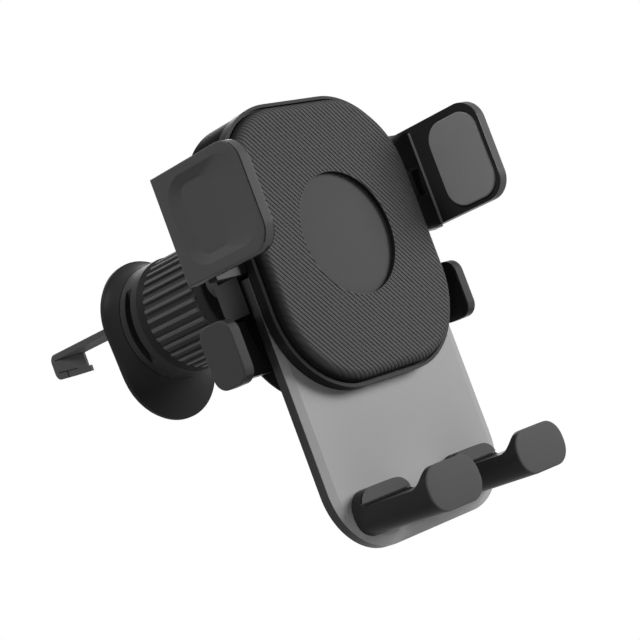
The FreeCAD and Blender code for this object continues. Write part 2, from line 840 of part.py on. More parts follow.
def make_hook():
    """Hook in one piece: a head in the core's windows, a keeled arm, and a blade with a barb."""
    head = block(
        -head_half_width, head_half_width, head_front, head_back, -shaft_half_height, shaft_half_height,
    )
    head = head.common(rod_y(head_half_width, head_front, head_back))
    shaft = block(
        -shaft_half_width, shaft_half_width, head_back, shaft_back, -shaft_half_height, shaft_half_height,
    )
    shaft = shaft.common(rod_y(core_bore_r - sliding_gap, head_back, shaft_back))
    gusset = along_x(polygon([
        (head_back + gusset_front, 0), (head_back + gusset_top, arm_top), (arm_root, arm_top), (arm_root, arm_keel),
        (shaft_back, -shaft_half_height), (head_back + gusset_front, -shaft_half_height),
    ], in_yz(-arm_half_width)), -arm_half_width, arm_half_width)
    arm_side = along_x(polygon([
        (arm_root - cut_over, arm_top), (hook_back, arm_top), (hook_back, hook_end_low), (hook_tip, hook_tip_low),
        (hook_tip, barb_high), (hook_throat, barb_high), (hook_throat, arm_keel), (arm_root - cut_over, arm_keel),
    ], in_yz(-arm_half_width)), -arm_half_width, arm_half_width)
    rear_edges = [edge for edge in edges_near(arm_side, "y", hook_back) if edge.BoundBox.ZLength < running_gap]
    arm_side = arm_side.makeFillet(hook_corner_r, rear_edges)
    keeled = along_y(polygon([
        (-arm_half_width, arm_top), (arm_half_width, arm_top), (arm_half_width, arm_ridge),
        (keel_half_width, arm_keel), (-keel_half_width, arm_keel), (-arm_half_width, arm_ridge),
    ], in_xz(arm_root - cut_over)), arm_root - cut_over, hook_back)
    blade = Part.Face(polygon([
        (keel_half_width, hook_tip), (keel_half_width, hook_throat), (arm_half_width, blade_end),
        (arm_half_width, hook_back), (-arm_half_width, hook_back), (-arm_half_width, blade_end),
        (-keel_half_width, hook_throat), (-keel_half_width, hook_tip),
    ], lambda u, v: V(u, v, hook_tip_low - cut_over))).extrude(V(0, 0, arm_top - hook_tip_low + 2 * cut_over))
    arm = arm_side.common(keeled.fuse(blade))
    return head.fuse([shaft, gusset, arm]).removeSplitter()


makers = {
    "front_cover": make_front_cover,
    "centre_disc": make_centre_disc,
    "mid_frame": make_mid_frame,
    "rear_casing": make_rear_casing,
    "casing_screws": make_casing_screws,
    "pinion": make_pinion,
    "left_jaw": make_left_jaw,
    "right_jaw": make_right_jaw,
    "left_jaw_pad": make_left_jaw_pad,
    "right_jaw_pad": lambda: mirrored(make_left_jaw_pad()),
    "foot_plate": make_foot_plate,
    "left_foot": lambda: make_foot(-1),
    "right_foot": lambda: make_foot(1),
    "left_foot_pad": lambda: make_foot_pad(-1),
    "right_foot_pad": lambda: make_foot_pad(1),
    "foot_screws": make_foot_screws,
    "left_release_tab": make_left_tab,
    "right_release_tab": lambda: mirrored(make_left_tab()),
    "left_tab_spring": make_left_tab_spring,
    "right_tab_spring": lambda: mirrored(make_left_tab_spring()),
    "ball_cup": make_ball_cup,
    "ball_ring": make_ball_ring,
    "lock_nut": make_lock_nut,
    "ball_head": make_ball_head,
    "clip_core": make_clip_core,
    "clamp_knob": make_clamp_knob,
    "collar": make_collar,
    "vent_base": make_vent_base,
    "base_gasket": make_base_gasket,
    "vent_hook": make_hook,
}

os.makedirs("parts", exist_ok=True)
for name, make in makers.items():
    shape = make()
    shape.translate(V(0, -vent_face, 0))
    solids = shape.Solids
    shape.exportStep("parts/" + name + ".step")
    print(name, "solids", len(solids), "valid", shape.isValid(), "volume", round(shape.Volume, 1))
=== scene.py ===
import json
import math

import bmesh
import bpy
import numpy as np
from mathutils import Matrix, Vector

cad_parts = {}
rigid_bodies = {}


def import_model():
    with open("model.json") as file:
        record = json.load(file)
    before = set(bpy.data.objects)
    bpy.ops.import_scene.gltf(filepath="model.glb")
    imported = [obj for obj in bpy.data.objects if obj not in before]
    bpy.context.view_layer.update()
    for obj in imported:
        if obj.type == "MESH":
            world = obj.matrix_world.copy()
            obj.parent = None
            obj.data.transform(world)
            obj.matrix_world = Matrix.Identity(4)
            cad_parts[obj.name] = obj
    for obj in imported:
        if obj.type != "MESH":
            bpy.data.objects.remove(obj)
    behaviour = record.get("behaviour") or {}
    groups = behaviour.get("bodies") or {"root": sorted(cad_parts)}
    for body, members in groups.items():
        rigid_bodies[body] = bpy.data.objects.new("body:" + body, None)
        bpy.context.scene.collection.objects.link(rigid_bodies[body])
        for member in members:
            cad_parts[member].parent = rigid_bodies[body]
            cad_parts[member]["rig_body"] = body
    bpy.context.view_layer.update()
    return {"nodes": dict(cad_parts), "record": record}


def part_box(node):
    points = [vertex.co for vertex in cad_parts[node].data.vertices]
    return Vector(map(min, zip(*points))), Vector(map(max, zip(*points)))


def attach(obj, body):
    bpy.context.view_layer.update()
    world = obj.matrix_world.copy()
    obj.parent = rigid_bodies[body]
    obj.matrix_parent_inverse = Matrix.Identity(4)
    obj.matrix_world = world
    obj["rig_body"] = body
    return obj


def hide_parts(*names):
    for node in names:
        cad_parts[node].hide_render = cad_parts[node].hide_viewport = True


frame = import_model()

record = frame["record"]
slotOfNode = {row["node"]: row["material_slot"] for row in record["subparts"]}
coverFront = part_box("front_cover")[0][1]  # y of the cover's front plane


def bodyOf(node):
    return frame["nodes"][node]["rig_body"]  # the CAD body that a node rides on


# Shared shader effects, each a node group with named inputs and outputs

def newGroup(name, inputs, outputs):
    # An empty group with its named sockets, and its two end nodes
    group = bpy.data.node_groups.new(name, "ShaderNodeTree")
    for label, kind, default in inputs:
        socket = group.interface.new_socket(label, in_out="INPUT", socket_type=kind)
        socket.default_value = default
    for label, kind in outputs:
        group.interface.new_socket(label, in_out="OUTPUT", socket_type=kind)
    return group, group.nodes.new("NodeGroupInput"), group.nodes.new("NodeGroupOutput")


def addNode(tree, kind, links=None, **values):
    # A node with its named input values set and its named inputs linked
    node = tree.nodes.new(kind)
    for key, value in values.items():
        if hasattr(node, key):
            setattr(node, key, value)
        else:
            node.inputs[key.replace("_", " ")].default_value = value
    for key, source in (links or {}).items():
        tree.links.new(source, node.inputs[key])
    return node


def mathNode(tree, operation, first, second=None):
    # The result of one sum, of numbers or of sockets
    node = tree.nodes.new("ShaderNodeMath")
    node.operation = operation
    for index, value in enumerate((first, second)):
        if value is None:
            continue
        if isinstance(value, (int, float)):
            node.inputs[index].default_value = value
        else:
            tree.links.new(value, node.inputs[index])
    return node.outputs[0]


skinSettings = {
    "grainDetail": 2.0,
    "driftSize": 60.0,
    "driftDetail": 3.0,
    "grainHeight": 0.0001,  # depth of the moulded grain at full bump
    "lineBlend": 0.0001,  # soft edge of a seam line
}


def buildMouldedSkin():
    # Moulded plastic: a fine spark-eroded grain, a slow tone drift and a slight change of gloss
    group, source, sink = newGroup(
        "mouldedSkin",
        [
            ("Colour", "NodeSocketColor", (0.1, 0.1, 0.1, 1)),
            ("Grain Size", "NodeSocketFloat", 2600.0),
            ("Tone Drift", "NodeSocketFloat", 0.06),
            ("Roughness", "NodeSocketFloat", 0.5),
            ("Gloss Drift", "NodeSocketFloat", 0.05),
        ],
        [("Colour", "NodeSocketColor"), ("Roughness", "NodeSocketFloat"), ("Height", "NodeSocketFloat")],
    )
    place = addNode(group, "ShaderNodeTexCoord").outputs["Object"]
    grainLinks = {"Vector": place, "Scale": source.outputs["Grain Size"]}
    grain = addNode(group, "ShaderNodeTexNoise", grainLinks, Detail=skinSettings["grainDetail"])
    drift = addNode(
        group, "ShaderNodeTexNoise", {"Vector": place},
        Scale=skinSettings["driftSize"], Detail=skinSettings["driftDetail"],
    )
    centred = mathNode(group, "SUBTRACT", drift.outputs["Fac"], 0.5)
    tone = mathNode(group, "ADD", mathNode(group, "MULTIPLY", centred, source.outputs["Tone Drift"]), 1.0)
    speck = mathNode(group, "SUBTRACT", grain.outputs["Fac"], 0.5)
    tone = mathNode(group, "ADD", tone, mathNode(group, "MULTIPLY", speck, source.outputs["Tone Drift"]))
    scaled = addNode(group, "ShaderNodeVectorMath", {0: source.outputs["Colour"]}, operation="SCALE")
    group.links.new(tone, scaled.inputs["Scale"])
    gloss = mathNode(group, "MULTIPLY", centred, source.outputs["Gloss Drift"])
    rough = mathNode(group, "ADD", gloss, source.outputs["Roughness"])
    group.links.new(scaled.outputs[0], sink.inputs["Colour"])
    group.links.new(rough, sink.inputs["Roughness"])
    group.links.new(grain.outputs["Fac"], sink.inputs["Height"])
    return group


def buildZoneMask():
    # 1 where the place lies past Start along Along, else 0, with a soft step as wide as Blend. The place's x
    # is taken as sqrt(x^2 + (Round z)^2), so with Round 1 the zone is what lies outside a cylinder about y
    group, source, sink = newGroup(
        "zoneMask",
        [
            ("Along", "NodeSocketVector", (0.0, -1.0, 0.0)),
            ("Start", "NodeSocketFloat", 0.0),
            ("Blend", "NodeSocketFloat", 0.0003),
            ("Round", "NodeSocketFloat", 0.0),
        ],
        [("Mask", "NodeSocketFloat")],
    )
    place = addNode(group, "ShaderNodeTexCoord").outputs["Object"]
    parts = addNode(group, "ShaderNodeSeparateXYZ", {"Vector": place})
    depth = mathNode(group, "MULTIPLY", parts.outputs["Z"], source.outputs["Round"])
    depthSquared = mathNode(group, "MULTIPLY", depth, depth)
    widthSquared = mathNode(group, "MULTIPLY", parts.outputs["X"], parts.outputs["X"])
    radial = mathNode(group, "SQRT", mathNode(group, "ADD", depthSquared, widthSquared))
    foldedLinks = {"X": radial, "Y": parts.outputs["Y"], "Z": parts.outputs["Z"]}
    folded = addNode(group, "ShaderNodeCombineXYZ", foldedLinks)
    reachLinks = {0: folded.outputs[0], 1: source.outputs["Along"]}
    reach = addNode(group, "ShaderNodeVectorMath", reachLinks, operation="DOT_PRODUCT")
    past = mathNode(group, "SUBTRACT", reach.outputs["Value"], source.outputs["Start"])
    share = mathNode(group, "DIVIDE", past, source.outputs["Blend"])
    clamp = addNode(group, "ShaderNodeClamp", {"Value": mathNode(group, "ADD", share, 0.5)})
    group.links.new(clamp.outputs[0], sink.inputs["Mask"])
    return group


mouldedSkin = buildMouldedSkin()
zoneMask = buildZoneMask()


def maskFrom(tree, along, start, blend=0.0003, turned=0.0):
    # The zone mask with its four values, in the order of a zone's tuple
    zone = tree.nodes.new("ShaderNodeGroup")
    zone.node_tree = zoneMask
    zone.inputs["Along"].default_value = along
    zone.inputs["Start"].default_value = start
    zone.inputs["Blend"].default_value = blend
    zone.inputs["Round"].default_value = turned
    return zone.outputs[0]


def plasticMaterial(
    name, colour, roughness, grainSize=2600.0, bump=0.05, toneDrift=0.08, glossDrift=0.05, specular=0.05,
    metallic=0.0, ior=1.5, inner=None, innerRoughness=0.3, zones=(), within=(), lines=(),
):
    # Moulded plastic. With zones, the colour is kept to them, as far as they lie within the zones of within.
    # All else, and the lines, take the inner colour and roughness
    material = bpy.data.materials.new(name)
    material.use_nodes = True
    tree = material.node_tree
    shader = tree.nodes["Principled BSDF"]
    skin = tree.nodes.new("ShaderNodeGroup")
    skin.node_tree = mouldedSkin
    skin.inputs["Colour"].default_value = (*colour, 1)
    skin.inputs["Grain Size"].default_value = grainSize
    skin.inputs["Tone Drift"].default_value = toneDrift
    skin.inputs["Roughness"].default_value = roughness
    skin.inputs["Gloss Drift"].default_value = glossDrift
    mask = None
    for zone in zones:
        zone = maskFrom(tree, *zone)
        mask = zone if mask is None else mathNode(tree, "MAXIMUM", mask, zone)
    for zone in within:
        mask = mathNode(tree, "MULTIPLY", mask, maskFrom(tree, *zone))
    for along, start, end, stretch in lines:
        near = maskFrom(tree, along, start, skinSettings["lineBlend"])
        far = maskFrom(tree, along, end, skinSettings["lineBlend"])
        band = mathNode(tree, "MULTIPLY", mathNode(tree, "SUBTRACT", near, far), maskFrom(tree, *stretch))
        mask = mathNode(tree, "MULTIPLY", mask, mathNode(tree, "SUBTRACT", 1.0, band))
    if mask is not None:
        tones = addNode(tree, "ShaderNodeMix", data_type="RGBA")
        tones.inputs[6].default_value = (*inner, 1)  # 6 and 7 are the colours A and B
        tones.inputs[7].default_value = (*colour, 1)
        tree.links.new(mask, tones.inputs[0])
        tree.links.new(tones.outputs[2], skin.inputs["Colour"])
        rough = mathNode(tree, "MULTIPLY", mask, roughness - innerRoughness)
        tree.links.new(mathNode(tree, "ADD", rough, innerRoughness), skin.inputs["Roughness"])
    height = {"Height": skin.outputs["Height"]}
    relief = addNode(tree, "ShaderNodeBump", height, Strength=bump, Distance=skinSettings["grainHeight"])
    tree.links.new(skin.outputs["Colour"], shader.inputs["Base Color"])
    tree.links.new(skin.outputs["Roughness"], shader.inputs["Roughness"])
    tree.links.new(relief.outputs["Normal"], shader.inputs["Normal"])
    shader.inputs["Specular IOR Level"].default_value = specular
    shader.inputs["Metallic"].default_value = metallic
    shader.inputs["IOR"].default_value = ior
    return material


def grey(level):
    return (level, level, level)


outward = (1, 0, 0)
forward = (0, -1, 0)
backward = (0, 1, 0)
upward = (0, 0, 1)


def frontOf(node, behind=0.0003):
    return forward, -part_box(node)[0][1] - behind  # the zone of a node's foremost face


def sideOf(node, inside=0.0003):
    return outward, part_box(node)[1][0] - inside  # the zone of the outer face of a node on the right


def topOf(node, below=0.0003):
    return upward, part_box(node)[1][2] - below  # the zone of a node's top face


def backOf(node, ahead=0.0003):
    return backward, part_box(node)[1][1] - ahead  # the zone behind a node's rearmost face


def roundSideOf(node, inside, blend):
    return outward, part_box(node)[1][0] - inside, blend, 1.0  # the zone outside a cylinder about y


def seamOf(node, inside=0.00045, width=0.0003, reach=0.0022):
    # A line just inside the outer face, along the front only
    return (*sideOf(node, inside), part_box(node)[1][0] - inside + width, frontOf(node, reach))


# A near-black gloss: the casing's own colour, and painted shade where the cover lies deep
gloss = grey(0.008)
finishes = {  # one for each slot of the record, and the jaw fillets' painted highlight
    # The cover turns to the near-black colour the deeper it lies behind its front plane: painted shade on the
    # rolled edge, and a little in the rib grooves
    "cover": dict(colour=grey(0.094), roughness=0.6, bump=0.05, inner=gloss, innerRoughness=0.6,
                  zones=[(*frontOf("front_cover", 0.0009), 0.0018)]),
    "disc": dict(colour=grey(0.069), roughness=0.55, bump=0.03),
    "frame": dict(colour=grey(0.065), roughness=0.5, inner=grey(0.016), innerRoughness=0.28, ior=1.3,
                  zones=[frontOf("mid_frame")]),
    "casing": dict(colour=grey(0.075), roughness=0.5, inner=gloss, innerRoughness=0.28, specular=0.01,
                   ior=1.12, zones=[sideOf("rear_casing", 0.0002), backOf("casing_screws", 0.0008)]),
    "screws": dict(colour=(0.35, 0.35, 0.36), roughness=0.35, metallic=1.0),
    "gear": dict(colour=(0.55, 0.55, 0.52), roughness=0.45, bump=0.03),
    "jaw": dict(colour=grey(0.081), roughness=0.5, inner=grey(0.024), innerRoughness=0.25,
                zones=[frontOf("right_jaw", 0.0034), sideOf("right_jaw", 0.0022)],
                within=[sideOf("right_jaw", 0.0032)], lines=[seamOf("right_jaw")]),
    "jaw_pad": dict(colour=grey(0.225), roughness=0.8, bump=0.12, grainSize=1800.0),
    "plate": dict(colour=grey(0.345), roughness=0.5, inner=grey(0.03), innerRoughness=0.35, specular=0.15,
                  zones=[frontOf("foot_plate", 0.0007)]),
    # The lighter colour on the foot's top face is painted light from above
    "foot": dict(colour=grey(0.075), roughness=0.5, inner=grey(0.021), innerRoughness=0.3,
                 zones=[frontOf("right_foot"), topOf("right_foot")]),
    "foot_pad": dict(colour=grey(0.12), roughness=0.8, bump=0.12, grainSize=1800.0),
    "tab": dict(colour=grey(0.056), roughness=0.55, inner=grey(0.026), innerRoughness=0.3,
                zones=[frontOf("right_release_tab", 0.0007), sideOf("right_release_tab", 0.0006)]),
    "spring": dict(colour=(0.6, 0.6, 0.6), roughness=0.25, bump=0.02, metallic=1.0),
    "liner": dict(colour=(0.6, 0.6, 0.57), roughness=0.4, bump=0.02),
    "nut": dict(colour=grey(0.012), roughness=0.45),
    "ball": dict(colour=grey(0.020), roughness=0.3, bump=0.03),
    "core": dict(colour=grey(0.020), roughness=0.35, bump=0.03),
    # The ribs' valleys, inside the cylinder, take the darker inner grey as painted shade
    "knob": dict(colour=grey(0.100), roughness=0.5, bump=0.04, inner=grey(0.046), innerRoughness=0.5,
                 zones=[roundSideOf("clamp_knob", 0.0004, 0.0004)]),
    "collar": dict(colour=grey(0.020), roughness=0.42, bump=0.04, specular=0.4, ior=1.2),
    "base": dict(colour=grey(0.017), roughness=0.45, bump=0.04, specular=0.25, ior=1.2),
    "gasket": dict(colour=grey(0.030), roughness=0.8, bump=0.12, grainSize=1800.0),
    "hook": dict(colour=grey(0.085), roughness=0.5, bump=0.04),
    # The fillets' lighter grey is a painted highlight along the inner corner of each jaw
    "beadHighlight": dict(colour=grey(0.16), roughness=0.4, bump=0.02, specular=0.2),
}
materials = {slot: plasticMaterial(slot + "Finish", **values) for slot, values in finishes.items()}


weldDistance = 1e-6  # places closer than this become one
finestDistance = 1e-7  # the same for the hook's small edges, and for edges with no length


def buildSoftShading():
    # Geometry node group: welds a mesh and shades it smooth where faces meet under this angle
    group = bpy.data.node_groups.new("softShading", "GeometryNodeTree")
    group.interface.new_socket("Geometry", in_out="INPUT", socket_type="NodeSocketGeometry")
    group.interface.new_socket("Geometry", in_out="OUTPUT", socket_type="NodeSocketGeometry")
    group.interface.new_socket("Angle", in_out="INPUT", socket_type="NodeSocketFloat")
    source = group.nodes.new("NodeGroupInput")
    sink = group.nodes.new("NodeGroupOutput")
    geometry = source.outputs["Geometry"]
    weld = addNode(group, "GeometryNodeMergeByDistance", {"Geometry": geometry}, Distance=weldDistance)
    angle = group.nodes.new("GeometryNodeInputMeshEdgeAngle")
    sharp = group.nodes.new("FunctionNodeCompare")
    sharp.data_type = "FLOAT"
    sharp.operation = "GREATER_THAN"
    group.links.new(source.outputs["Angle"], sharp.inputs[1])
    group.links.new(angle.outputs["Unsigned Angle"], sharp.inputs[0])
    faces = addNode(group, "GeometryNodeSetShadeSmooth", {"Geometry": weld.outputs[0]}, domain="FACE")
    edges = addNode(group, "GeometryNodeSetShadeSmooth", {"Geometry": faces.outputs[0]}, domain="EDGE")
    edges.inputs["Shade Smooth"].default_value = False
    group.links.new(sharp.outputs[0], edges.inputs["Selection"])
    group.links.new(edges.outputs[0], sink.inputs[0])
    return group


softShading = buildSoftShading()
plainCrease = 32.0  # degrees between faces, past which their edge stays sharp
creaseAngles = {"left_jaw": 11.0, "right_jaw": 11.0, "clamp_knob": 20.0, "foot_plate": 9.0, "collar": 25.0}


def shadeSoftly(obj, angle=plainCrease):
    # Puts the soft shading on a piece, with its own crease angle in degrees
    modifier = obj.modifiers.new("softShading", "NODES")
    modifier.node_group = softShading
    angleSocket = next(item for item in softShading.interface.items_tree if item.name == "Angle")
    modifier[angleSocket.identifier] = math.radians(angle)


def dressNode(node):
    # A CAD node takes the finish of its slot
    obj = frame["nodes"][node]
    obj.data.materials.clear()
    obj.data.materials.append(materials[slotOfNode[node]])
    shadeSoftly(obj, creaseAngles.get(node, plainCrease))


for node in frame["nodes"]:
    dressNode(node)
print("dressed", len(frame["nodes"]), "CAD nodes")


def gridFaces(rows, columns, isClosed=False):
    # Corner numbers of the quads of a grid of rows by columns, whose last column may meet the first
    across = columns if isClosed else columns - 1
    row, column = np.meshgrid(np.arange(rows - 1), np.arange(across), indexing="ij")
    start, following = row * columns, (column + 1) % columns
    after = start + columns
    return np.stack([start + column, after + column, after + following, start + following], -1).reshape(-1, 4)


def meshFromArrays(name, points, faces):
    # An object in the scene from an array of places and one of corner numbers
    mesh = bpy.data.meshes.new(name)
    mesh.vertices.add(len(points))
    mesh.vertices.foreach_set("co", np.ascontiguousarray(points, dtype=np.float32).ravel())
    mesh.loops.add(faces.size)
    mesh.loops.foreach_set("vertex_index", faces.astype(np.int32).ravel())
    mesh.polygons.add(len(faces))
    mesh.polygons.foreach_set("loop_start", np.arange(0, faces.size, faces.shape[1], dtype=np.int32))
    mesh.update(calc_edges=True)
    mesh.validate()
    obj = bpy.data.objects.new(name, mesh)
    bpy.context.scene.collection.objects.link(obj)
    return obj


def joinGrids(name, grids, facing):
    # One welded mesh from several point grids, its faces turned to look along facing
    points, faces, start = [], [], 0
    for grid in grids:
        rows, columns = grid.shape[:2]
        points.append(grid.reshape(-1, 3))
        faces.append(gridFaces(rows, columns) + start)
        start += rows * columns
    obj = meshFromArrays(name, np.concatenate(points), np.concatenate(faces))
    work = bmesh.new()
    work.from_mesh(obj.data)
    bmesh.ops.remove_doubles(work, verts=work.verts, dist=weldDistance)
    bmesh.ops.dissolve_degenerate(work, edges=work.edges, dist=finestDistance)
    work.normal_update()
    if sum((f.normal * f.calc_area()).dot(Vector(facing)) for f in work.faces) < 0:
        bmesh.ops.reverse_faces(work, faces=work.faces)
    work.to_mesh(obj.data)
    work.free()
    return obj


def finishPiece(obj, slot, body, *replaced, finish=None):
    # Gives a new piece its finish, soft shading and body, and hides the CAD nodes that it stands for
    obj.data.materials.append(materials[finish or slot])
    shadeSoftly(obj)
    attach(obj, body)
    if replaced:
        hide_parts(*replaced)


# The ribbed front cover

coverSettings = {
    "ribPitch": 0.00116,
    "ribDepth": 0.00018,
    "ribTurn": math.radians(39.7),  # of the line across the ribs, above the x axis
    "ribPhases": [-0.22, -0.16, -0.10, 0.0, 0.10, 0.16, 0.22, 0.5],  # rows of one rib, 0 in the groove
    "ribProfile": ([0.0, 0.10, 0.16, 0.22], [1.0, 0.9, 0.3, 0.0]),  # depth by the distance from the groove
    "samplesAlong": 34,
    "rollWide": 0.0026,
    "rollDeep": 0.0037,
    "topCorner": 0.0227,
    "lowCorner": 0.0233,
    "ribStart": 0.0002,  # inside the outline, where the grooves begin
    "ribFade": 0.0004,
    "rimWidth": 0.00025,
    "rimSteps": 180,
    "discGap": 0.00005,
    "shadeAround": 0.0006,  # outside the disc, as far as the recess wall takes the painted shade
    "shadeBehind": 0.00008,  # behind the front plane, where the painted shade begins
    "ribsEachWay": 60,
    "reach": 0.06,  # half the length of a row that is searched for its place inside the outline
    "probes": 481,
    "halvings": 30,
}


def insideDistance(x, z, box, settings):
    # Distance inside a rectangle with round corners: the least gap to a side or, in a corner, to its arc
    (left, _, floor), (right, _, roof) = box
    corner = np.where(z > (floor + roof) / 2, settings["topCorner"], settings["lowCorner"])
    acrossX = np.abs(x - (left + right) / 2) - (right - left) / 2 + corner
    acrossZ = np.abs(z - (floor + roof) / 2) - (roof - floor) / 2 + corner
    outside = np.hypot(np.maximum(acrossX, 0), np.maximum(acrossZ, 0))
    return corner - outside - np.minimum(np.maximum(acrossX, acrossZ), 0)


def farthestRows(box, acrossX, acrossZ, settings, inside=2e-6):
    # Places across the ribs where a row only just touches the low left and the top right corner
    (left, _, floor), (right, _, roof) = box
    low, top = settings["lowCorner"], settings["topCorner"]
    lowest = (left + low) * acrossX + (floor + low) * acrossZ - low
    highest = (right - top) * acrossX + (roof - top) * acrossZ + top
    return lowest + inside, highest - inside


def edgeAlong(start, end, rowX, rowZ, stepX, stepZ, box, settings):
    # Place on each row, between a point inside and one outside, where it meets the outline, by halving
    inner, outer = start.copy(), end.copy()
    for _ in range(settings["halvings"]):
        middle = (inner + outer) / 2
        isIn = insideDistance(rowX + middle * stepX, rowZ + middle * stepZ, box, settings) > 0
        inner, outer = np.where(isIn, middle, inner), np.where(isIn, outer, middle)
    return inner


def rimGrid(radius, width, steps, front, floor):
    # Ring round the disc's recess: the profile (r, y) turned about the y axis, (r cos a, y, r sin a)
    profile = np.array([
        (radius + width, floor), (radius + width, front + width / 2), (radius + width / 2, front),
        (radius, front + width / 4), (radius, floor),
    ])
    angle = np.linspace(0, 2 * np.pi, steps + 1)[:, None]
    x, z = profile[:, 0] * np.cos(angle), profile[:, 0] * np.sin(angle)
    return np.stack([x, np.broadcast_to(profile[:, 1], x.shape), z], axis=-1)


def buildRibbedCover(settings):
    # Rows along the ribs: y = front + roll of the distance to the edge + rib wave of the place across them.
    # Each row runs from the outline to the disc's recess, and from the recess to the outline
    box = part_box("front_cover")
    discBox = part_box("centre_disc")
    discRadius = (discBox[1][0] - discBox[0][0]) / 2 + settings["discGap"]
    recessFloor = discBox[1][1]
    front, back = box[0][1], box[1][1]
    acrossX, acrossZ = math.cos(settings["ribTurn"]), math.sin(settings["ribTurn"])
    alongX, alongZ = -acrossZ, acrossX

    reach = settings["reach"]
    ribs = np.arange(-settings["ribsEachWay"], settings["ribsEachWay"])
    phases = np.array(settings["ribPhases"])
    across = ((ribs[:, None] + phases) * settings["ribPitch"]).ravel()
    depths = np.tile(np.interp(np.abs(phases), *settings["ribProfile"]), len(ribs)) * settings["ribDepth"]
    lowest, highest = farthestRows(box, acrossX, acrossZ, settings)
    kept = (across > lowest) & (across < highest)
    across = np.concatenate([[lowest], across[kept], [highest]])
    depths = np.concatenate([[0], depths[kept], [0]])
    probe = np.linspace(-reach, reach, settings["probes"])
    gap = insideDistance(
        across[:, None] * acrossX + probe * alongX, across[:, None] * acrossZ + probe * alongZ, box, settings,
    )
    deepest = probe[gap.argmax(axis=1)]
    rowX, rowZ = across * acrossX, across * acrossZ
    far = np.full(across.shape, 2 * reach)
    rowStart = edgeAlong(deepest, -far, rowX, rowZ, alongX, alongZ, box, settings)
    rowEnd = edgeAlong(deepest, far, rowX, rowZ, alongX, alongZ, box, settings)
    holeRadius = discRadius + settings["rimWidth"] / 2
    chord = np.sqrt(np.maximum(holeRadius ** 2 - across ** 2, 0))
    meets = np.clip(0, rowStart, rowEnd)
    holeStart, holeEnd = meets - chord, meets + chord
    isCrossed = chord > 0

    ease = 0.5 - 0.5 * np.cos(np.linspace(0, np.pi, settings["samplesAlong"]))
    patches = []
    for begin, end, edgeFirst in ((rowStart, holeStart, True), (holeEnd, rowEnd, False)):
        along = begin[:, None] + (end - begin)[:, None] * ease
        x = rowX[:, None] + along * alongX
        z = rowZ[:, None] + along * alongZ
        gap = np.maximum(insideDistance(x, z, box, settings), 0)
        short = np.clip(1 - gap / settings["rollWide"], 0, 1)
        roll = settings["rollDeep"] * (1 - np.sqrt(1 - short ** 2))
        fade = np.clip((gap - settings["ribStart"]) / settings["ribFade"], 0, 1)
        y = np.minimum(front + roll + depths[:, None] * fade, back)
        rim = np.full(across.shape, back)
        wall = np.where(isCrossed, recessFloor, y[:, -1 if edgeFirst else 0])
        before, after = (rim, wall) if edgeFirst else (wall, rim)
        x = np.concatenate([x[:, :1], x, x[:, -1:]], axis=1)
        z = np.concatenate([z[:, :1], z, z[:, -1:]], axis=1)
        y = np.concatenate([before[:, None], y, after[:, None]], axis=1)
        patches.append(np.stack([x, y, z], axis=-1))
    patches.append(rimGrid(discRadius, settings["rimWidth"], settings["rimSteps"], front, recessFloor))
    return joinGrids("ribbedCover", patches, facing=(0, -1, 0))


def paintShadeOnRecessWall(obj, radius, front):
    # The wall of the disc's recess takes the second, near-black finish: painted shade in its deep gap
    count = len(obj.data.polygons)
    centres = np.empty(count * 3)
    obj.data.polygons.foreach_get("center", centres)
    centres = centres.reshape(count, 3)
    isWall = (np.hypot(centres[:, 0], centres[:, 2]) < radius) & (centres[:, 1] > front)
    obj.data.polygons.foreach_set("material_index", isWall.astype(np.int32))


ribbedCover = buildRibbedCover(coverSettings)
finishPiece(ribbedCover, "cover", bodyOf("front_cover"), "front_cover")
# The nut's near-black finish, put on the recess wall as painted shade
ribbedCover.data.materials.append(materials["nut"])
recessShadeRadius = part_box("centre_disc")[1][0] + coverSettings["shadeAround"]
paintShadeOnRecessWall(ribbedCover, recessShadeRadius, coverFront + coverSettings["shadeBehind"])
print("ribbed cover:", len(ribbedCover.data.polygons), "faces")


# The hollow fillets of the two jaws, in a lighter grey that is a painted highlight

beadSettings = {
    "radius": 0.0005,
    "steps": 9,
    "grips": {
        "leftBead": {"node": "left_jaw", "side": -1},
        "rightBead": {"node": "right_jaw", "side": 1},
    },
    "innerX": 0.0460,  # the jaw plate's inner face
    "webFront": 0.0058,  # behind the cover's front plane
    "low": -0.0023,
    "high": 0.0250,
}


def buildBead(name, side, settings):
    # Hollow fillet in the corner of a jaw's plate and web: a quarter circle, (r - r cos a, r - r sin a) from
    # that corner, carried along z
    angle = np.linspace(0, np.pi / 2, settings["steps"])
    radius = settings["radius"]
    x = side * (settings["innerX"] - radius * (1 - np.cos(angle)))
    y = coverFront + settings["webFront"] - radius * (1 - np.sin(angle))
    z = np.array([settings["low"], settings["high"]])
    points = np.stack(np.broadcast_arrays(x, y, z[:, None]), axis=-1)
    return joinGrids(name, [points], facing=(-side, -1, 0))


for name, grip in beadSettings["grips"].items():
    finishPiece(buildBead(name, grip["side"], beadSettings), "jaw", bodyOf(grip["node"]), finish="beadHighlight")
print("jaw fillets:", len(beadSettings["grips"]))


# The vent hook with its moulded grooves

grooveSettings = {
    "sides": (-1, 1),  # of the blade, along x
    "back": 0.0022,  # how far each cutter stands out of the face
    "cuts": [  # y is taken from the cover's front plane
        {
            "start": (0.0030, 0.12905, 0.0003), "end": (0.00133, 0.12195, -0.0007),
            "width": 0.00034, "depth": 0.0004,
        },
        {
            "start": (0.00225, 0.12577, -0.0003), "end": (0.0023, 0.12610, -0.0030),
            "width": 0.00048, "depth": 0.0004,
        },
        {
            "start": (0.0030, 0.12890, 0.0043), "end": (0.0004, 0.11815, 0.0031),
            "width": 0.00036, "depth": 0.0003,
        },
    ],
}
barFaces = np.array([[0, 1, 2, 3], [7, 6, 5, 4], [0, 4, 5, 1], [1, 5, 6, 2], [2, 6, 7, 3], [3, 7, 4, 0]])


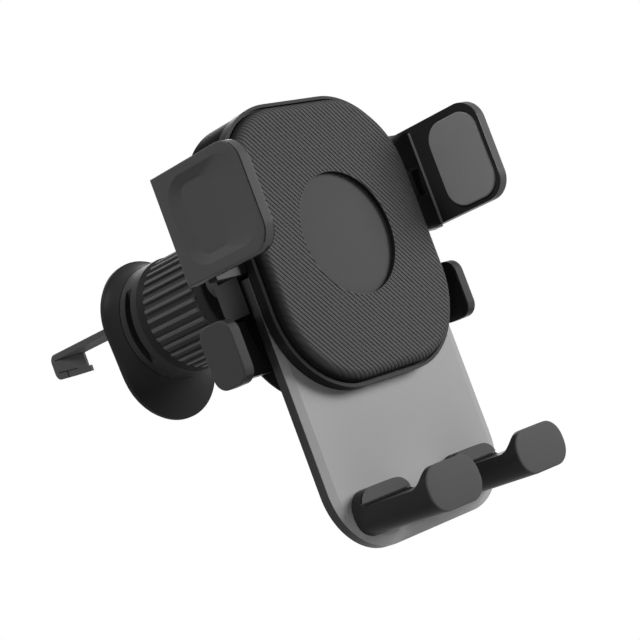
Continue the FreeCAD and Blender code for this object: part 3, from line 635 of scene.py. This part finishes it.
def grooveCutter(name, start, end, width, depth, side, back):
    # Bar along a line on a side face: its four long edges are the line moved by -depth or back along x, and
    # by half the width to each side along y or z, whichever the line runs less along
    ends = np.array([start, end])
    section = np.zeros((4, 3))
    section[:, 0] = [-depth, back, back, -depth]
    acrossAxis = 1 if abs(end[2] - start[2]) > abs(end[1] - start[1]) else 2
    section[:, acrossAxis] = np.array([-1, -1, 1, 1]) * width / 2
    points = (ends[:, None] + section) * [side, 1, 1] + [0, coverFront, 0]
    obj = meshFromArrays(name, points.reshape(-1, 3), barFaces)
    turnOutward(obj)
    return obj


def turnOutward(obj):
    # Merges a mesh's doubles and turns all its faces outwards
    work = bmesh.new()
    work.from_mesh(obj.data)
    bmesh.ops.remove_doubles(work, verts=work.verts, dist=finestDistance)
    bmesh.ops.recalc_face_normals(work, faces=work.faces)
    work.to_mesh(obj.data)
    work.free()


def buildGroovedHook(settings):
    # A merged copy of the hook with the moulded grooves cut out of both sides of its blade
    obj = bpy.data.objects.new("groovedHook", frame["nodes"]["vent_hook"].data.copy())
    bpy.context.scene.collection.objects.link(obj)
    turnOutward(obj)
    cutters = []
    for side in settings["sides"]:
        for cut in settings["cuts"]:
            cutters.append(grooveCutter("grooveCutter", **cut, side=side, back=settings["back"]))
    for cutter in cutters:
        modifier = obj.modifiers.new("groove", "BOOLEAN")
        modifier.object = cutter
        modifier.operation = "DIFFERENCE"
        modifier.solver = "EXACT"
    graph = bpy.context.evaluated_depsgraph_get()
    cut = bpy.data.meshes.new_from_object(obj.evaluated_get(graph))
    obj.modifiers.clear()
    obj.data = cut
    for cutter in cutters:
        bpy.data.objects.remove(cutter)
    obj.data.materials.clear()
    return obj


finishPiece(buildGroovedHook(grooveSettings), "hook", bodyOf("vent_hook"), "vent_hook")
print("grooved hook ready")


# Camera, at the picture's angle

cameraSettings = {
    "place": (-0.36103, coverFront - 0.31316, -0.05622),
    # Unit vectors along the picture's width, its height and its depth
    "right": (0.65618166, -0.66998493, -0.34719708),
    "down": (-0.18318987, 0.30490793, -0.93459757),
    "ahead": (0.73202944, 0.67686878, 0.07734054),
    "lens": 102.55,
    "sensor": 36.0,
    "farthest": 20.0,
}


def addCamera(settings):
    data = bpy.data.cameras.new("camera")
    data.lens = settings["lens"]
    data.sensor_width = settings["sensor"]
    data.clip_end = settings["farthest"]
    camera = bpy.data.objects.new("camera", data)
    bpy.context.scene.collection.objects.link(camera)
    turn = Matrix((settings["right"], [-v for v in settings["down"]], [-v for v in settings["ahead"]]))
    place = turn.transposed().to_4x4()
    place.translation = settings["place"]
    camera.matrix_world = place
    bpy.context.scene.camera = camera


addCamera(cameraSettings)


# Floor, lamps and world

stageSettings = {
    "floorHeight": -0.22,
    "floorRadius": 0.4,
    "floorMiddle": 0.001,  # radius of the innermost ring
    "floorRings": 6,
    "floorSpokes": 64,
    "floorGrey": 0.86,
    "floorRoughness": 0.8,
    "lampTarget": (0.0, coverFront, -0.01),
    "ambient": 0.06,
    "lamps": {
        "frontLamp": {"place": (1.2, -1.1, 0.3), "power": 27.0, "size": 0.7},
        "sideLamp": {"place": (-0.85, -0.2, 1.4), "power": 18.0, "size": 0.5},
        "leftLamp": {"place": (-1.4, -0.2, -0.15), "power": 2.0, "size": 0.8},
        "lowLamp": {"place": (-0.1, 0.0, -1.3), "power": 8.0, "size": 0.7},
        "rearLamp": {"place": (0.9, 1.1, 0.5), "power": 5.0, "size": 0.8},
    },
}


def whiteToCamera(tree, plain):
    # White for camera, glossy and transmission rays, and the plain strength for all others
    rays = tree.nodes.new("ShaderNodeLightPath")
    seen = mathNode(tree, "MAXIMUM", rays.outputs["Is Camera Ray"], rays.outputs["Is Glossy Ray"])
    seen = mathNode(tree, "MAXIMUM", seen, rays.outputs["Is Transmission Ray"])
    return mathNode(tree, "ADD", mathNode(tree, "MULTIPLY", seen, 1.0 - plain), plain)


def buildWorld(ambient):
    world = bpy.data.worlds.new("studio")
    bpy.context.scene.world = world
    world.use_nodes = True
    tree = world.node_tree
    background = tree.nodes["Background"]
    background.inputs["Color"].default_value = (1, 1, 1, 1)
    tree.links.new(whiteToCamera(tree, ambient), background.inputs["Strength"])


def buildFloor(settings):
    # A round pale floor: a grid of rings and spokes at (r cos a, r sin a)
    rings, spokes = settings["floorRings"], settings["floorSpokes"]
    radii = np.linspace(settings["floorMiddle"], settings["floorRadius"], rings)
    radius, angle = np.meshgrid(radii, np.linspace(0, 2 * np.pi, spokes, endpoint=False), indexing="ij")
    height = np.full(radius.shape, settings["floorHeight"])
    points = np.stack([radius * np.cos(angle), radius * np.sin(angle), height], axis=-1)
    floor = meshFromArrays("floor", points.reshape(-1, 3), gridFaces(rings, spokes, isClosed=True))
    material = bpy.data.materials.new("floorPaint")
    material.use_nodes = True
    shader = material.node_tree.nodes["Principled BSDF"]
    shader.inputs["Base Color"].default_value = (*grey(settings["floorGrey"]), 1)
    shader.inputs["Roughness"].default_value = settings["floorRoughness"]
    floor.data.materials.append(material)


def addLamp(name, place, power, size, target):
    # A square lamp at place that looks at target
    data = bpy.data.lights.new(name, "AREA")
    data.energy = power
    data.size = size
    lamp = bpy.data.objects.new(name, data)
    bpy.context.scene.collection.objects.link(lamp)
    back = np.array(place) - target
    back /= np.linalg.norm(back)
    side = np.cross((0, 0, 1), back)
    side /= np.linalg.norm(side)
    turn = Matrix(np.stack([side, np.cross(back, side), back]).tolist()).transposed().to_4x4()
    turn.translation = place
    lamp.matrix_world = turn


buildWorld(stageSettings["ambient"])
buildFloor(stageSettings)
for name, lamp in stageSettings["lamps"].items():
    addLamp(name, **lamp, target=stageSettings["lampTarget"])
bpy.context.scene.view_settings.view_transform = "Standard"
print("stage ready")
